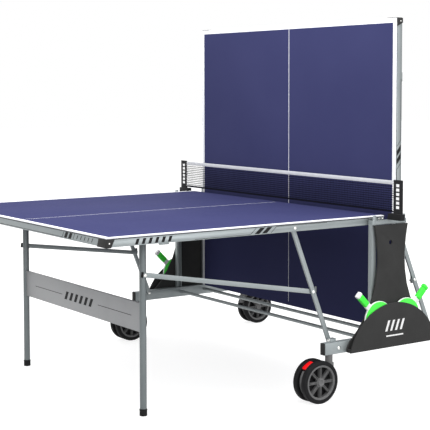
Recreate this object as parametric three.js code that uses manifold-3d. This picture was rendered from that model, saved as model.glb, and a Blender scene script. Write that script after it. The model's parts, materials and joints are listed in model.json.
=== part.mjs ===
// Folding table tennis table on a wheeled chassis. Millimetres, +Z up.
// The net stands in the plane X = 0 of the table frame; the front half reaches toward -X in the
// playing position and the rear half is folded up at +X. Both halves are the same assembly, turned
// half a turn about Z, so one function builds them with a fold of 0 or 1.
import * as THREE from 'three';
import Module from 'manifold-3d';
import { mergeVertices } from 'three/addons/utils/BufferGeometryUtils.js';

// ---- driving dimensions -------------------------------------------------------------------
const originShift = 431.25;      // net plane from the middle of the table's whole length
const playHeight = 760;          // playing surface above the floor
const halfLength = 1368;         // one half of the playing surface
const boardWidth = 1525;
const boardThick = 5;
const netEdge = 2;               // clearance from the net plane to a half's inner edge
const apronHeight = 31.7;
const apronWall = 14;
const apronInset = 2;
const pivotIn = 82;              // guide axle, in from the net edge
const pivotDeep = 23;            // guide axle, below the playing surface
const foldDrop = 408.081;        // travel of the guide axle down its column
const strutFoot = { x: -291, z: 240 };
const strutTopIn = 486;          // strut pivot on the half, in from the net edge
const strutMid = 236;            // stay pivot on the strut, from its foot
const strutWidth = 20;
const strutThick = 10;
const strutSide = 740;           // centre plane of a strut
const legIn = 1081;              // leg hinge, in from the net edge
const legDeep = 24;
const legSide = 537;
const legRadius = 14;
const footHeight = 28;
const stayOnLeg = 165.919;       // stay pivot on the leg, below the leg hinge
const strutSwing = 0.795834;     // radians a strut turns on its half over the whole fold
const staySwing = 1.576380;      // radians a stay turns on its leg over the whole fold
const stayTall = 20;
const stayThick = 7;
const panelLow = 336;
const panelHigh = 454;
const railSide = 782;            // centre plane of a chassis rail
const railWide = 28;
const railLow = 195.5;
const railTall = 49.5;
const railHalf = 355.3;
const capLong = 5.2;
const columnX = 84;
const columnWide = 26;
const columnDeep = 22;
const columnTop = 745;
const casters = { front: { stem: 321, wheel: 392 }, rear: { stem: 340, wheel: 418 } };
const casterSide = 777;
const wheelRadius = 90;
const towerPlate = 7.7;
const pocketGap = 25;
const pocketPlate = 6;
const pocketFloor = 197;
const pocketEnd = 246;           // outer faces of the pocket's end webs
const archRadius = 257.5;
const archPeak = 389;
const archFoot = 203;
const cableHole = { radius: 9.5, z: 646 };
const crossTube = { radius: 8, x: 75, z: 222 };
const post = { halfThick: 2.5, inner: 822, outer: 877, low: 768, top: 918 };
const net = { halfThick: 1, reach: 821.7, low: 778, top: 914 };
const housingRadius = 76;
const housingHalf = 12;
const stemRadius = 16;
const axleBore = 9;
const brakeBand = { inner: 79, outer: 87, from: 1.8, to: 2.4 };
const brakeNotch = { inner: 64, outer: 84, from: 1.75, to: 2.45 };
const bat = { radius: 77, halfThick: 6.5, gripHalf: 15, gripThick: 10.5, gripFrom: 68, gripTo: 168 };
const batAt = { x: 78.5, z: 322, tilt: Math.PI / 4 };
const axleRadius = 8;
const axleHole = 8.6;
const gap = 0.3;

// ---- materials ----------------------------------------------------------------------------
const paint = (color, roughness, metalness) =>
  new THREE.MeshStandardMaterial({ color, roughness, metalness });
const blueTop = paint('#3d3f6c', 0.6, 0);
const silver = paint('#8f9899', 0.38, 0.55);
const panelGrey = paint('#a0a2a3', 0.45, 0.4);
const blackPlastic = paint('#2b2b2c', 0.6, 0);
const darkSteel = paint('#3a4145', 0.45, 0.5);
const rubber = paint('#1c1c1d', 0.75, 0);
const redPlastic = paint('#e3151a', 0.45, 0);
const batGreen = paint('#35d94a', 0.6, 0);
const netCord = paint('#2a2c45', 0.9, 0);

// ---- solids -------------------------------------------------------------------------------
const wasm = await Module();
wasm.setup();

function toSolid(geometry) {
  const bare = geometry.clone();
  bare.deleteAttribute('normal');
  bare.deleteAttribute('uv');
  const merged = mergeVertices(bare, 1e-4);
  return new wasm.Manifold(new wasm.Mesh({
    numProp: 3,
    vertProperties: new Float32Array(merged.attributes.position.array),
    triVerts: new Uint32Array(merged.index.array),
  }));
}

function toGeometry(solid) {
  const mesh = solid.getMesh();
  const geometry = new THREE.BufferGeometry();
  geometry.setAttribute('position', new THREE.BufferAttribute(mesh.vertProperties, 3));
  geometry.setIndex(new THREE.BufferAttribute(mesh.triVerts, 1));
  geometry.computeVertexNormals();
  return geometry;
}

function join(...pieces) {
  let solid = toSolid(pieces[0]);
  for (const piece of pieces.slice(1)) {
    solid = solid.add(toSolid(piece));
  }
  return toGeometry(solid);
}

function cut(body, ...tools) {
  let solid = toSolid(body);
  for (const tool of tools) {
    solid = solid.subtract(toSolid(tool));
  }
  return toGeometry(solid);
}

// A box from its lowest to its highest corner.
function block(x0, x1, y0, y1, z0, z1) {
  const geometry = new THREE.BoxGeometry(x1 - x0, y1 - y0, z1 - z0);
  geometry.translate((x0 + x1) / 2, (y0 + y1) / 2, (z0 + z1) / 2);
  return geometry;
}

// A cylinder along Y from y0 to y1 at x, z.
function barY(radius, x, z, y0, y1, sides = 20) {
  const geometry = new THREE.CylinderGeometry(radius, radius, y1 - y0, sides);
  geometry.translate(x, (y0 + y1) / 2, z);
  return geometry;
}

// A cylinder along Z from z0 to z1 at x, y.
function barZ(radius, x, y, z0, z1, sides = 20) {
  const geometry = new THREE.CylinderGeometry(radius, radius, z1 - z0, sides);
  geometry.rotateX(Math.PI / 2);
  geometry.translate(x, y, (z0 + z1) / 2);
  return geometry;
}

// A plate with an outline in X and Z, between the planes y0 and y1.
function plateY(shape, y0, y1, curveSegments = 12) {
  const geometry = new THREE.ExtrudeGeometry(shape, {
    depth: y1 - y0, bevelEnabled: false, curveSegments,
  });
  geometry.rotateX(Math.PI / 2);
  geometry.translate(0, y1, 0);
  return geometry;
}

// A plate with an outline in X and Y, between the heights z0 and z1.
function plateZ(shape, z0, z1) {
  const geometry = new THREE.ExtrudeGeometry(shape, { depth: z1 - z0, bevelEnabled: false });
  geometry.translate(0, 0, z0);
  return geometry;
}

function outline(points) {
  return new THREE.Shape(points.map(([a, b]) => new THREE.Vector2(a, b)));
}

// A flat link with round ends between two points of the X-Z plane.
function linkShape(x0, z0, x1, z1, width) {
  const angle = Math.atan2(z1 - z0, x1 - x0);
  const shape = new THREE.Shape();
  shape.absarc(x0, z0, width / 2, angle + Math.PI / 2, angle - Math.PI / 2, false);
  shape.absarc(x1, z1, width / 2, angle - Math.PI / 2, angle + Math.PI / 2, false);
  shape.closePath();
  return shape;
}

const table = new THREE.Group();
table.position.x = originShift;
const sideNames = { front: ['near', 'far'], rear: ['far', 'near'] };

function place(parent, name, geometry, material) {
  const mesh = new THREE.Mesh(geometry, material);
  mesh.name = name;
  parent.add(mesh);
  return mesh;
}

// ---- one half of the table with its legs, struts and stays ------------------------------------
function addHalf(name, fold) {
  const side = new THREE.Group();
  side.rotation.z = name === 'rear' ? Math.PI : 0;
  table.add(side);
  const turn = fold * Math.PI / 2;
  const axleX = -(netEdge + pivotIn);
  const axleZ = playHeight - pivotDeep - fold * foldDrop;
  const yNames = sideNames[name];

  const carriage = new THREE.Group();
  carriage.position.set(axleX, 0, axleZ);
  side.add(carriage);
  const blockReach = railSide - railWide / 2 + 15;
  place(carriage, `${name}_guide_axle`, join(
    barY(axleRadius, 0, 0, -blockReach + 8, blockReach - 8),
    block(-9.5, 9.5, -blockReach, -blockReach + 14, -12, 12),
    block(-9.5, 9.5, blockReach - 14, blockReach, -12, 12),
  ), darkSteel);

  // half frame: x toward the net, z up from the guide axle
  const half = new THREE.Group();
  half.rotation.y = turn;
  carriage.add(half);
  const inner = pivotIn;
  const outer = pivotIn - halfLength;
  const top = pivotDeep;
  const wide = boardWidth / 2;
  place(half, `${name}_board`,
    block(outer, inner, -wide, wide, top - boardThick, top), blueTop);

  const frameTop = top - boardThick - gap;
  const frameLow = frameTop - apronHeight;
  const legX = pivotIn - legIn;
  const legZ = top - legDeep;
  const strutX = pivotIn - strutTopIn;
  const frameOut = wide - apronInset;
  const frameIn = frameOut - apronWall;
  const hangers = [];
  for (const y of [-1, 1]) {
    for (const offset of [-17.5, 17.5]) {
      const middle = y * legSide + offset;
      hangers.push(block(legX - 16, legX + 16, middle - 1.5, middle + 1.5,
        legZ - 14, frameTop - 2));
    }
  }
  const ring = cut(
    block(outer + apronInset, inner - apronInset, -frameOut, frameOut, frameLow, frameTop),
    block(outer + apronInset + apronWall, inner - apronInset - apronWall,
      -frameIn, frameIn, frameLow - 1, frameTop + 1),
  );
  const frame = cut(join(
    ring,
    block(legX - 24, legX + 24, -frameIn - 2, frameIn + 2, frameTop - 3.2, frameTop),
    block(strutX - 20, strutX + 20, -frameIn - 2, frameIn + 2, frameTop - 3.2, frameTop),
    ...hangers,
  ), barY(axleHole, 0, 0, -wide - 5, wide + 5));
  place(half, `${name}_apron_frame`, frame, silver);

  // black corner shoes: one leaf on the end, one on the side and a flange below
  for (const [index, y] of [[0, -1], [1, 1]]) {
    const out = wide + 0.3;
    const face = frameOut + gap;
    const low = frameLow - 2.4;
    const endLeaf = new THREE.ExtrudeGeometry(outline([
      [59, frameTop], [out, frameTop], [out, low], [74, low],
    ].map(([a, b], k) => [k === 0 || k === 3 ? out - a : a, b])), {
      depth: 2.2, bevelEnabled: false,
    });
    endLeaf.rotateX(Math.PI / 2);
    endLeaf.rotateZ(Math.PI / 2);
    endLeaf.translate(outer - 0.5, 0, 0);
    const sideLeaf = plateY(outline([
      [outer - 0.5, low], [outer + 20, low], [outer + 36, frameTop], [outer - 0.5, frameTop],
    ]), face, out);
    const flange = block(outer - 0.5, outer + 20, out - 38, out, low, frameLow - gap);
    const shoe = join(endLeaf, sideLeaf, flange);
    if (y < 0) {
      shoe.scale(1, -1, 1);
      shoe.setIndex(Array.from(shoe.index.array).reverse());
    }
    place(half, `${name}_corner_shoe_${yNames[index]}`, shoe, blackPlastic);
  }

  // legs hang from the leg hinge and stay upright as the half folds
  const legs = new THREE.Group();
  legs.position.set(legX, 0, legZ);
  legs.rotation.y = -turn;
  half.add(legs);
  const floor = -(playHeight - legDeep);
  for (const [index, y] of [[0, -1], [1, 1]]) {
    place(legs, `${name}_leg_${yNames[index]}`,
      barZ(legRadius, 0, y * legSide, floor + footHeight + gap, 4, 20), silver);
    place(legs, `${name}_foot_${yNames[index]}`,
      barZ(legRadius + 1.5, 0, y * legSide, floor, floor + footHeight, 20), blackPlastic);
  }
  const panelSide = legSide - legRadius - gap;
  place(legs, `${name}_leg_panel`, join(
    block(-6, -4, -panelSide, panelSide, floor + panelLow, floor + panelHigh),
    block(-6, 6, -panelSide, panelSide, floor + panelLow, floor + panelLow + 2),
    block(-6, 6, -panelSide, panelSide, floor + panelHigh - 2, floor + panelHigh),
  ), panelGrey);

  // struts hinge on the half and stand on the chassis at their feet
  const foot = new THREE.Vector2(strutFoot.x - axleX, strutFoot.z - (playHeight - pivotDeep));
  const strutTop = new THREE.Vector2(strutX, 0);
  const struts = new THREE.Group();
  struts.position.set(strutTop.x, 0, strutTop.y);
  struts.rotation.y = -fold * strutSwing;
  half.add(struts);
  const fx = foot.x - strutTop.x;
  const fz = foot.y - strutTop.y;
  for (const [index, y] of [[0, -1], [1, 1]]) {
    const middle = y * strutSide;
    place(struts, `${name}_strut_${yNames[index]}`,
      plateY(linkShape(fx, fz, 0, 0, strutWidth),
        middle - strutThick / 2, middle + strutThick / 2, 8), silver);
  }

  // stays run from the legs to the middle of the struts
  const reach = Math.hypot(fx, fz);
  const mid = new THREE.Vector2(foot.x - fx * strutMid / reach, foot.y - fz * strutMid / reach);
  const stayFoot = new THREE.Vector2(legX, legZ - stayOnLeg);
  const stays = new THREE.Group();
  stays.position.set(0, 0, -stayOnLeg);
  stays.rotation.y = fold * staySwing;
  legs.add(stays);
  const span = mid.clone().sub(stayFoot);
  const length = span.length();
  const slope = Math.atan2(span.y, span.x);
  const legSideY = legSide + legRadius + gap + stayThick / 2;
  const strutSideY = strutSide - strutThick / 2 - gap - stayThick / 2;
  for (const [index, y] of [[0, -1], [1, 1]]) {
    const halfThick = stayThick / 2;
    const line = [[-13, legSideY], [22, legSideY], [length - 22, strutSideY],
      [length + 13, strutSideY]];
    const upper = line.map(([a, b]) => [a, y * b + halfThick]);
    const lower = line.map(([a, b]) => [a, y * b - halfThick]);
    const stay = plateZ(outline([...lower, ...upper.reverse()]),
      -stayTall / 2, stayTall / 2);
    stay.rotateY(-slope);
    place(stays, `${name}_stay_${yNames[index]}`, stay, silver);
  }
}

addHalf('front', 0);
addHalf('rear', 1);

// ---- chassis ----------------------------------------------------------------------------------
const railTop = railLow + railTall;
const railIn = railSide - railWide / 2;
const railOut = railSide + railWide / 2;
for (const [label, y] of [['near', -1], ['far', 1]]) {
  const flip = (geometry) => {
    if (y < 0) {
      geometry.scale(1, -1, 1);
      if (geometry.index) {
        geometry.setIndex(Array.from(geometry.index.array).reverse());
      } else {
        return reversed(geometry);
      }
    }
    return geometry;
  };

  // rail with the two strut bosses on its inner face
  const bosses = [-1, 1].map((x) => block(
    x * -strutFoot.x - 15, x * -strutFoot.x + 15, strutSide + strutThick / 2 + 1, railIn + 1,
    strutFoot.z - 17, strutFoot.z + 15));
  place(table, `${label}_rail`, flip(join(
    block(-railHalf, railHalf, railIn, railOut, railLow, railTop), ...bosses)), silver);
  for (const [end, x] of [['front', -1], ['rear', 1]]) {
    const x0 = x * (railHalf + gap);
    const x1 = x * (railHalf + capLong);
    place(table, `${label}_rail_cap_${end}`, flip(block(Math.min(x0, x1), Math.max(x0, x1),
      railIn - 0.6, railOut + 0.6, railLow - 0.6, railTop + 0.6)), blackPlastic);
  }

  // two guide columns open toward the table, joined by a head bar
  const columns = [-1, 1].map((x) => {
    const x0 = x * columnX - columnWide / 2;
    const x1 = x * columnX + columnWide / 2;
    return cut(
      block(x0, x1, railIn, railIn + columnDeep, railTop + gap, columnTop),
      block(x0 + 2.5, x1 - 2.5, railIn - 1, railIn + columnDeep - 3, railTop - 1, columnTop + 1),
    );
  });
  place(table, `${label}_guide_columns`, flip(join(...columns, block(
    -columnX - 14, columnX + 14, railIn + columnDeep - 1, railOut,
    columnTop - 20, columnTop), block(76, 92, railIn + columnDeep - 1, railOut,
    columnTop - 2, columnTop + 20), block(-92, -76, railIn + columnDeep - 1, railOut,
    columnTop - 2, columnTop + 20))), silver);

  // black holder: a waisted plate on the rail's outer face
  const towerIn = railOut + gap;
  const towerOut = towerIn + towerPlate;
  const edge = [[95, 724], [85, 670], [78, 610], [77, 575], [81, 520], [92, 460], [113, 400],
    [145, 340], [185, 285], [235, 235], [247, 215], [247, 197]];
  const tower = outline([...edge, ...edge.map(([a, b]) => [-a, b]).reverse()].reverse());
  place(table, `${label}_holder_plate`, flip(cut(
    plateY(tower, towerIn, towerOut).translate(5, 0, 0),
    barY(cableHole.radius, 0, cableHole.z, towerIn - 1, towerOut + 1, 20),
  )), blackPlastic);

  // half-round pocket front on a floor and two end webs
  const pocketIn = towerOut + pocketGap;
  const pocketOut = pocketIn + pocketPlate;
  const arch = [];
  const archZ = archPeak - archRadius;
  const from = Math.asin((archFoot - archZ) / archRadius);
  for (let k = 0; k <= 24; k += 1) {
    const a = from + (Math.PI - 2 * from) * k / 24;
    arch.push([archRadius * Math.cos(a), archZ + archRadius * Math.sin(a)]);
  }
  const face = outline([[pocketEnd + 4, pocketFloor], ...arch, [-pocketEnd - 4, pocketFloor]]);
  place(table, `${label}_pocket_front`, flip(join(
    plateY(face, pocketIn, pocketOut),
    block(-pocketEnd, pocketEnd, towerOut + gap, pocketIn + 1, pocketFloor, pocketFloor + 5),
    block(-pocketEnd, 6 - pocketEnd, towerOut + gap, pocketIn + 1, pocketFloor, pocketFloor + 15),
    block(pocketEnd - 6, pocketEnd, towerOut + gap, pocketIn + 1, pocketFloor, pocketFloor + 15),
  )), blackPlastic);

  // net post on its clamp
  place(table, `${label}_net_post`, flip(join(
    block(-post.halfThick, post.halfThick, post.inner, post.outer, post.low, post.top),
    block(-12, 12, 797, 879, columnTop + gap, 772),
    block(-8, 8, 789, 798, columnTop + gap, 758),
  )), blackPlastic);

  // casters: a housing under the rail end and a double disc on an axle
  for (const [end, x] of [['front', -1], ['rear', 1]]) {
    const caster = new THREE.Group();
    caster.position.set(x * casters[end].stem, 0, 0);
    table.add(caster);
    const axle = (casters[end].wheel - casters[end].stem) * x;
    const notch = new THREE.Shape();
    notch.absarc(0, 0, brakeNotch.outer, brakeNotch.from, brakeNotch.to, false);
    notch.absarc(0, 0, brakeNotch.inner, brakeNotch.to, brakeNotch.from, true);
    notch.closePath();
    const notchCut = plateY(notch, casterSide - 20, casterSide + 20, 6);
    if (x > 0) {
      notchCut.scale(-1, 1, 1);
      notchCut.copy(reversed(notchCut));
    }
    notchCut.translate(axle, 0, wheelRadius);
    const housing = cut(join(
      barY(housingRadius, axle, wheelRadius, casterSide - housingHalf, casterSide + housingHalf, 32),
      block(Math.min(axle * 0.75, -18 * x, 18 * x), Math.max(axle * 0.75, 18 * x, -18 * x),
        casterSide - 11, casterSide + 11, 118, 160),
      barZ(stemRadius, 0, casterSide, 150, railLow - 0.8, 24),
    ), barY(axleBore, axle, wheelRadius, casterSide - 20, casterSide + 20, 16), notchCut);
    place(caster, `${label}_${end}_caster_housing`, flip(housing), panelGrey);
    const profile = [[0, 38], [14, 38], [14, 34], [70, 29], [72, 40], [84, 40], [90, 36], [90, 18],
      [84, 14], [72, 14], [70, 21], [14, 21], [14, 14], [8.4, 14], [8.4, -14], [14, -14],
      [14, -21], [70, -21], [72, -14], [84, -14], [90, -18], [90, -36], [84, -40], [72, -40],
      [70, -29], [14, -34], [14, -38], [0, -38]];
    const wheel = new THREE.LatheGeometry(
      profile.map(([r, a]) => new THREE.Vector2(r, -a)), 28);
    wheel.translate(axle, 0, 0);
    const wheelMesh = place(caster, `${label}_${end}_wheel_pair`, wheel, rubber);
    wheelMesh.position.set(0, y * casterSide, wheelRadius);
    if (end === 'front') {
      const tab = new THREE.Shape();
      tab.absarc(0, 0, brakeBand.outer, brakeBand.from, brakeBand.to, false);
      tab.absarc(0, 0, brakeBand.inner, brakeBand.to, brakeBand.from, true);
      tab.closePath();
      const pedal = plateY(tab, casterSide - housingHalf, casterSide + housingHalf, 6);
      pedal.translate(axle, 0, wheelRadius);
      place(caster, `${label}_brake_tab`, flip(pedal), redPlastic);
    }
  }

  // two bats in the pocket, handles up and outward
  for (const [end, x] of [['front', -1], ['rear', 1]]) {
    const blade = barY(bat.radius, 0, 0, -bat.halfThick, bat.halfThick, 36);
    const handle = block(-bat.gripHalf, bat.gripHalf, -bat.gripThick, bat.gripThick,
      bat.gripFrom, bat.gripTo);
    const whole = join(blade, handle);
    whole.rotateY(x * batAt.tilt);
    whole.translate(x * batAt.x, 0, batAt.z);
    const mesh = place(table, `${label}_bat_${end}`, whole, batGreen);
    mesh.position.y = y * (towerOut + pocketGap / 2);
  }
}

// cross tubes between the rails
for (const [end, x] of [['front', -1], ['rear', 1]]) {
  place(table, `${end}_cross_tube`,
    barY(crossTube.radius, x * crossTube.x, crossTube.z, -railIn + gap, railIn - gap, 20), silver);
}

// the net hangs between the posts
place(table, 'net', block(-net.halfThick, net.halfThick, -net.reach, net.reach, net.low, net.top), netCord);

// The same triangles with their winding turned round.
function reversed(geometry) {
  const flipped = geometry.index ? geometry.toNonIndexed() : geometry.clone();
  const position = flipped.attributes.position;
  for (let k = 0; k < position.count; k += 3) {
    const a = [position.getX(k), position.getY(k), position.getZ(k)];
    const b = [position.getX(k + 1), position.getY(k + 1), position.getZ(k + 1)];
    position.setXYZ(k, ...b);
    position.setXYZ(k + 1, ...a);
  }
  return flipped;
}

export default table;
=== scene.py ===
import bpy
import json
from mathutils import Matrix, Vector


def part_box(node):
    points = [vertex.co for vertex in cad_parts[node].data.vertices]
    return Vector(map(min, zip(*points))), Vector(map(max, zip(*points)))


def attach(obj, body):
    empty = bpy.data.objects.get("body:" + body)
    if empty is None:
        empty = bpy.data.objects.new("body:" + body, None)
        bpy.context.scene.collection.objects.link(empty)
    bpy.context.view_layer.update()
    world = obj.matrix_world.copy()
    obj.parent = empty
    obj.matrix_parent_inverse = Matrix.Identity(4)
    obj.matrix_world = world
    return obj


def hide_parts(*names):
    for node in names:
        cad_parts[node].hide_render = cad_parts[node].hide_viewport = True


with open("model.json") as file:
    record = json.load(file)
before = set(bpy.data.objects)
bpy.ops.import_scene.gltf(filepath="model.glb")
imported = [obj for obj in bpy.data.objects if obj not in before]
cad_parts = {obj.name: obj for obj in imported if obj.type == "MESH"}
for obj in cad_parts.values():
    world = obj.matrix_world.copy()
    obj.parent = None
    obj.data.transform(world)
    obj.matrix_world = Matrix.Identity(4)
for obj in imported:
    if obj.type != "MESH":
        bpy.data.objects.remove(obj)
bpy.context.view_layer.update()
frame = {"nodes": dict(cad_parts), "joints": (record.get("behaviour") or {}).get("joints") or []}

import json
import math

import bpy
from mathutils import Matrix, Vector

# ------------------------------------------------------------------ layout, in metres
def middle_of(node):
    low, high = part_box(node)
    return (low + high) / 2


NET_X = middle_of("net").x                    # the plane of the net
BOARD_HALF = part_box("front_board")[1].y
APRON_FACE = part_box("front_apron_frame")[1].y
STRUT_FOOT = (0.291, 0.240)                   # strut foot from the net plane, and its height
STRUT_MID = 0.236                             # stay pivot along the strut from its foot
PIVOT = {joint["name"]: Vector(joint["pos_m"]) for joint in frame["joints"] if "pos_m" in joint}
SIDES = (("near", -1), ("far", 1))
ENDS = (("front", -1), ("rear", 1))
LEG_RADIUS = 0.014
STAY_THICK = 0.007
FREE_GAP = 0.0003                             # clearance between pieces that turn on each other
FRAME_DEEP = 0.0320                           # from a board's back to its apron's lower edge
PRINT_SINK = 0.0002                           # how far a print's plate starts below its face
PRINT_THICK = 0.0004


# ------------------------------------------------------------------ camera
LENS = 101.344186                             # millimetres, on a 36 mm sensor
LENS_SHIFT = (-0.0762791, -0.1302326)
CAMERA_AT = (-3.526, -4.673, 1.318)           # from the net plane
CAMERA_TURN = 35.57                           # degrees from +Y toward +X
CAMERA_DIP = 3.43


def look_through_camera():
    data = bpy.data.cameras.new("studio_camera")
    data.sensor_width = 36.0
    data.lens = LENS
    data.shift_x, data.shift_y = LENS_SHIFT
    camera = bpy.data.objects.new("studio_camera", data)
    bpy.context.scene.collection.objects.link(camera)
    turn, dip = math.radians(CAMERA_TURN), math.radians(CAMERA_DIP)
    ahead = Vector((math.sin(turn) * math.cos(dip), math.cos(turn) * math.cos(dip), -math.sin(dip)))
    camera.location = (CAMERA_AT[0] + NET_X, CAMERA_AT[1], CAMERA_AT[2])
    camera.rotation_euler = ahead.to_track_quat("-Z", "Y").to_euler()
    data.clip_end = 60.0
    bpy.context.scene.camera = camera


look_through_camera()


# ------------------------------------------------------------------ modelling helpers
def deselect():
    bpy.ops.object.select_all(action="DESELECT")


def take(piece):
    deselect()
    piece.select_set(True)
    bpy.context.view_layer.objects.active = piece


def settle(piece):
    """Put the piece's place in its mesh."""
    take(piece)
    bpy.ops.object.transform_apply(location=True, rotation=True, scale=True)


def named(name):
    piece = bpy.context.object
    piece.name = name
    piece.data.name = name
    return piece


def finish_mesh(piece, bevel=0.0, segments=2, angle=40.0, limit=35.0):
    """Round the edges and shade the piece."""
    take(piece)
    if bevel:
        rounding = piece.modifiers.new("edges", "BEVEL")
        rounding.width = bevel
        rounding.segments = segments
        rounding.limit_method = "ANGLE"
        rounding.angle_limit = math.radians(limit)
        rounding.harden_normals = False
        bpy.ops.object.modifier_apply(modifier=rounding.name)
    bpy.ops.object.shade_smooth_by_angle(angle=math.radians(angle))
    return piece


def brick(name, low, high, bevel=0.001, segments=2):
    """A rounded block between two corners."""
    low, high = Vector(low), Vector(high)
    deselect()
    bpy.ops.mesh.primitive_cube_add(size=1.0, location=(low + high) / 2)
    piece = named(name)
    piece.scale = high - low
    settle(piece)
    return finish_mesh(piece, bevel, segments)


def rod(name, start, end, radius, sides=32, bevel=0.0006, dish=0.0):
    """A round bar between two points, with rounded and, if asked, dished ends."""
    start, end = Vector(start), Vector(end)
    deselect()
    bpy.ops.mesh.primitive_cylinder_add(vertices=sides, radius=radius, depth=(end - start).length)
    piece = named(name)
    if dish:
        caps = [f.index for f in piece.data.polygons if abs(f.normal.z) > 0.9]
        edit_faces(piece, caps)
        bpy.ops.mesh.inset(thickness=radius * 0.3)
        bpy.ops.mesh.extrude_region_move(TRANSFORM_OT_translate={"value": (0, 0, 0)})
        bpy.ops.transform.resize(value=(0.8, 0.8, 1 - 2 * dish / (end - start).length))
        bpy.ops.object.mode_set(mode="OBJECT")
    piece.rotation_euler = (end - start).to_track_quat("Z", "Y").to_euler()
    piece.location = (start + end) / 2
    settle(piece)
    return finish_mesh(piece, bevel, 2)


def edit_faces(piece, indices):
    """Open the piece in edit mode with just these faces selected."""
    take(piece)
    mesh = piece.data
    bpy.context.tool_settings.mesh_select_mode = (False, False, True)
    for part in (mesh.vertices, mesh.edges, mesh.polygons):
        part.foreach_set("select", [False] * len(part))
    for index in indices:
        mesh.polygons[index].select = True
    bpy.ops.object.mode_set(mode="EDIT")


def merge(name, pieces):
    """Join finished pieces into one named piece."""
    deselect()
    for piece in pieces:
        piece.select_set(True)
    bpy.context.view_layer.objects.active = pieces[0]
    bpy.ops.object.join()
    return named(name)


def copy_of(piece, name):
    twin = piece.copy()
    twin.data = piece.data.copy()
    twin.name = name
    twin.data.name = name
    for key in list(twin.keys()):
        del twin[key]
    bpy.context.scene.collection.objects.link(twin)
    return twin


def moved(piece, matrix):
    """Move a finished piece by a matrix that goes into its mesh."""
    piece.data.transform(matrix)
    if matrix.determinant() < 0:
        take(piece)
        bpy.ops.object.mode_set(mode="EDIT")
        bpy.ops.mesh.select_all(action="SELECT")
        bpy.ops.mesh.flip_normals()
        bpy.ops.object.mode_set(mode="OBJECT")
    return piece


def dressed(node, bevel=0.0008, segments=2, angle=40.0):
    """A copy of a frame part with merged faces and rounded edges, which stands for it."""
    source = frame["nodes"][node]
    piece = source.copy()
    piece.data = source.data.copy()
    piece.parent = None
    piece.name = node + "_shape"
    piece.data.name = piece.name
    for key in list(piece.keys()):
        del piece[key]
    bpy.context.scene.collection.objects.link(piece)
    piece.hide_render = False
    take(piece)
    bpy.ops.object.mode_set(mode="EDIT")
    bpy.ops.mesh.select_all(action="SELECT")
    bpy.ops.mesh.remove_doubles(threshold=0.00002)
    bpy.ops.mesh.dissolve_limited(angle_limit=math.radians(1.0))
    bpy.ops.object.mode_set(mode="OBJECT")
    finish_mesh(piece, bevel, segments, angle, 35.0)
    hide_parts(node)
    return piece


def fit(piece, body, material):
    """Paint the piece, let it ride on a body and give it a material slot."""
    piece.data.materials.clear()
    piece.data.materials.append(material)
    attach(piece, body)
    return piece


# ------------------------------------------------------------------ materials
def new_material(name):
    material = bpy.data.materials.new(name)
    material.use_nodes = True
    tree = material.node_tree
    shader = tree.nodes["Principled BSDF"]
    return material, tree, shader


def link(tree, a, b):
    tree.links.new(a, b)


def make_group(name, outputs, build):
    """A shared effect: reads Object coordinates and puts out values."""
    group = bpy.data.node_groups.new(name, "ShaderNodeTree")
    for label, kind in outputs:
        group.interface.new_socket(label, in_out="OUTPUT", socket_type=kind)
    out = group.nodes.new("NodeGroupOutput")
    place = group.nodes.new("ShaderNodeTexCoord")
    build(group, place.outputs["Object"], out)
    return group


def noise(tree, coords, scale, detail=3.0, rough=0.5):
    node = tree.nodes.new("ShaderNodeTexNoise")
    node.inputs["Scale"].default_value = scale
    node.inputs["Detail"].default_value = detail
    node.inputs["Roughness"].default_value = rough
    link(tree, coords, node.inputs["Vector"])
    return node.outputs["Fac"]


def spread(tree, value, low, high, from_low=0.3, from_high=0.7):
    node = tree.nodes.new("ShaderNodeMapRange")
    node.inputs["From Min"].default_value = from_low
    node.inputs["From Max"].default_value = from_high
    node.inputs["To Min"].default_value = low
    node.inputs["To Max"].default_value = high
    link(tree, value, node.inputs["Value"])
    return node.outputs["Result"]


def maths(tree, operation, a, b=None, c=None):
    node = tree.nodes.new("ShaderNodeMath")
    node.operation = operation
    for socket, value in zip(node.inputs, (a, b, c)):
        if value is None:
            continue
        if isinstance(value, (int, float)):
            socket.default_value = value
        else:
            link(tree, value, socket)
    return node.outputs[0]


def blend_colour(tree, factor, a, b):
    node = tree.nodes.new("ShaderNodeMix")
    node.data_type = "RGBA"
    for socket, value in ((node.inputs["Factor"], factor), (node.inputs["A"], a), (node.inputs["B"], b)):
        if isinstance(value, tuple):
            socket.default_value = (*value, 1.0)
        elif isinstance(value, (int, float)):
            socket.default_value = value
        else:
            link(tree, value, socket)
    return node.outputs["Result"]


def bump(tree, height, strength, distance, shader):
    node = tree.nodes.new("ShaderNodeBump")
    node.inputs["Strength"].default_value = strength
    node.inputs["Distance"].default_value = distance
    link(tree, height, node.inputs["Height"])
    link(tree, node.outputs["Normal"], shader.inputs["Normal"])


def coated_surface(group, coords, out):
    """Powder coat: broad cloudiness, a fine orange peel and rare dust specks."""
    link(group, noise(group, coords, 9.0, 4.0), out.inputs["Cloud"])
    peel = noise(group, coords, 900.0, 2.0)
    link(group, peel, out.inputs["Peel"])
    dust = noise(group, coords, 160.0, 5.0, 0.7)
    link(group, spread(group, dust, 0.0, 1.0, 0.63, 0.75), out.inputs["Dust"])


def moulded_surface(group, coords, out):
    """Moulded plastic: a fine pebble grain with soft flow marks."""
    cells = group.nodes.new("ShaderNodeTexVoronoi")
    cells.inputs["Scale"].default_value = 1100.0
    link(group, coords, cells.inputs["Vector"])
    link(group, cells.outputs["Distance"], out.inputs["Grain"])
    link(group, noise(group, coords, 14.0, 5.0, 0.6), out.inputs["Flow"])


COATED = make_group("coated surface", (("Cloud", "NodeSocketFloat"), ("Peel", "NodeSocketFloat"),
                                       ("Dust", "NodeSocketFloat")), coated_surface)
MOULDED = make_group("moulded surface", (("Grain", "NodeSocketFloat"), ("Flow", "NodeSocketFloat")),
                     moulded_surface)


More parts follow.
